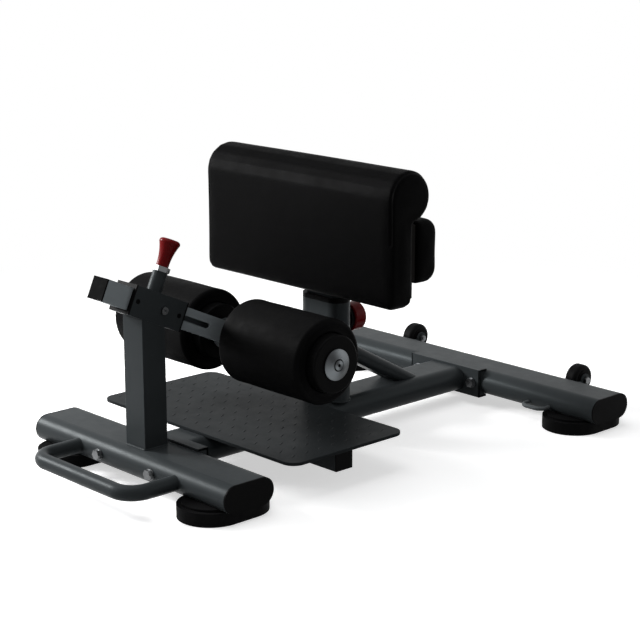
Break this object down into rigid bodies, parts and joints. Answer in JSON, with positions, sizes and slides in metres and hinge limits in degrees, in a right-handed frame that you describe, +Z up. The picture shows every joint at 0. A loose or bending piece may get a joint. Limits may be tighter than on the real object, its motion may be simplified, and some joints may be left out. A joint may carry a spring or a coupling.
{
  "type": "sissy squat bench",
  "caption": "Floor-standing sissy squat bench: sliding calf-roller arm in a tilted sleeve, tread foot plate, height-adjustable padded post, flat oval feet and transport wheels.",
  "frame": {"origin": "on the floor, below the middle of the bench's bounding box", "axes": "+X across the bench, to the right for someone who looks from the roller end to the padded post, +Y from the front foot to the rear foot, +Z up"},
  "size_m": [0.77, 1.1245, 0.549],
  "materials": {
    "frame_paint": "satin",
    "black_cap": "matte",
    "black_rubber": "matte",
    "wheel_tyre": "matte",
    "zinc_steel": "satin",
    "red_knob": "gloss",
    "foam_skin": "satin",
    "pad_vinyl": "satin",
    "board_wood": "matte"
  },
  "bodies": {
    "frame": {"front_foot": "frame_paint", "rear_foot": "frame_paint", "front_foot_caps": "black_cap", "rear_foot_caps": "black_cap", "rubber_front_left": "black_rubber", "rubber_front_right": "black_rubber", "rubber_rear_left": "black_rubber", "rubber_rear_right": "black_rubber", "carry_handle": "frame_paint", "main_beam": "frame_paint", "front_channel": "frame_paint", "rear_channel": "frame_paint", "frame_bolts": "zinc_steel", "frame_washers": "zinc_steel", "frame_nuts": "zinc_steel", "front_upright": "frame_paint", "sleeve": "frame_paint", "sleeve_liner_front": "black_cap", "sleeve_liner_rear": "black_cap", "stop_screw": "zinc_steel", "pin_barrel": "frame_paint", "pin_collar": "zinc_steel", "foot_plate": "frame_paint", "cross_tube_left": "frame_paint", "cross_tube_right": "frame_paint", "cross_plugs": "black_cap", "rear_upright": "frame_paint", "post_liner": "black_cap", "brace": "frame_paint", "lock_barrel": "frame_paint", "hook_left": "frame_paint", "hook_right": "frame_paint", "wheel_brackets": "frame_paint", "wheel_bolts": "zinc_steel", "wheel_nuts": "zinc_steel"},
    "arm": {"arm_tube": "frame_paint", "arm_plugs": "black_cap", "roller_axle": "zinc_steel", "dished_washers": "zinc_steel", "end_screws": "zinc_steel"},
    "roller_left": {"core_left": "black_cap", "foam_left": "foam_skin"},
    "roller_right": {"core_right": "black_cap", "foam_right": "foam_skin"},
    "pin": {"pin_plunger": "zinc_steel", "pin_knob": "red_knob"},
    "pad_carriage": {"pad_post": "frame_paint", "calf_board": "board_wood", "calf_pad": "pad_vinyl", "rear_board": "board_wood", "rear_pad": "pad_vinyl", "pad_screws": "zinc_steel"},
    "lock": {"lock_plunger": "zinc_steel", "lock_knob": "red_knob"},
    "wheel_left": {"hub_left": "black_cap", "tyre_left": "wheel_tyre"},
    "wheel_right": {"hub_right": "black_cap", "tyre_right": "wheel_tyre"}
  },
  "joints": [
    {"name": "arm_slide", "type": "slide", "parent": "frame", "child": "arm", "axis": [0, 0.91, -0.4147], "range_m": [-0.11, 0.044]},
    {"name": "roller_left_spin", "type": "hinge", "parent": "arm", "child": "roller_left", "pos_m": [0, -0.20089, 0.23766], "axis": [1, 0, 0], "continuous": true},
    {"name": "roller_right_spin", "type": "hinge", "parent": "arm", "child": "roller_right", "pos_m": [0, -0.20089, 0.23766], "axis": [1, 0, 0], "continuous": true},
    {"name": "pin_pull", "type": "slide", "parent": "frame", "child": "pin", "axis": [0, 0.4147, 0.91], "range_m": [-0.006, 0.008], "stiffness_N_per_m": 400, "springref_m": -0.006},
    {"name": "post_slide", "type": "slide", "parent": "frame", "child": "pad_carriage", "axis": [0, 0, 1], "range_m": [-0.025, 0.075]},
    {"name": "lock_pull", "type": "slide", "parent": "frame", "child": "lock", "axis": [0, 1, 0], "range_m": [-0.006, 0.008], "stiffness_N_per_m": 400, "springref_m": -0.006},
    {"name": "wheel_left_spin", "type": "hinge", "parent": "frame", "child": "wheel_left", "pos_m": [-0.231, 0.53225, 0.058], "axis": [1, 0, 0], "continuous": true},
    {"name": "wheel_right_spin", "type": "hinge", "parent": "frame", "child": "wheel_right", "pos_m": [0.231, 0.53225, 0.058], "axis": [1, 0, 0], "continuous": true}
  ]
}
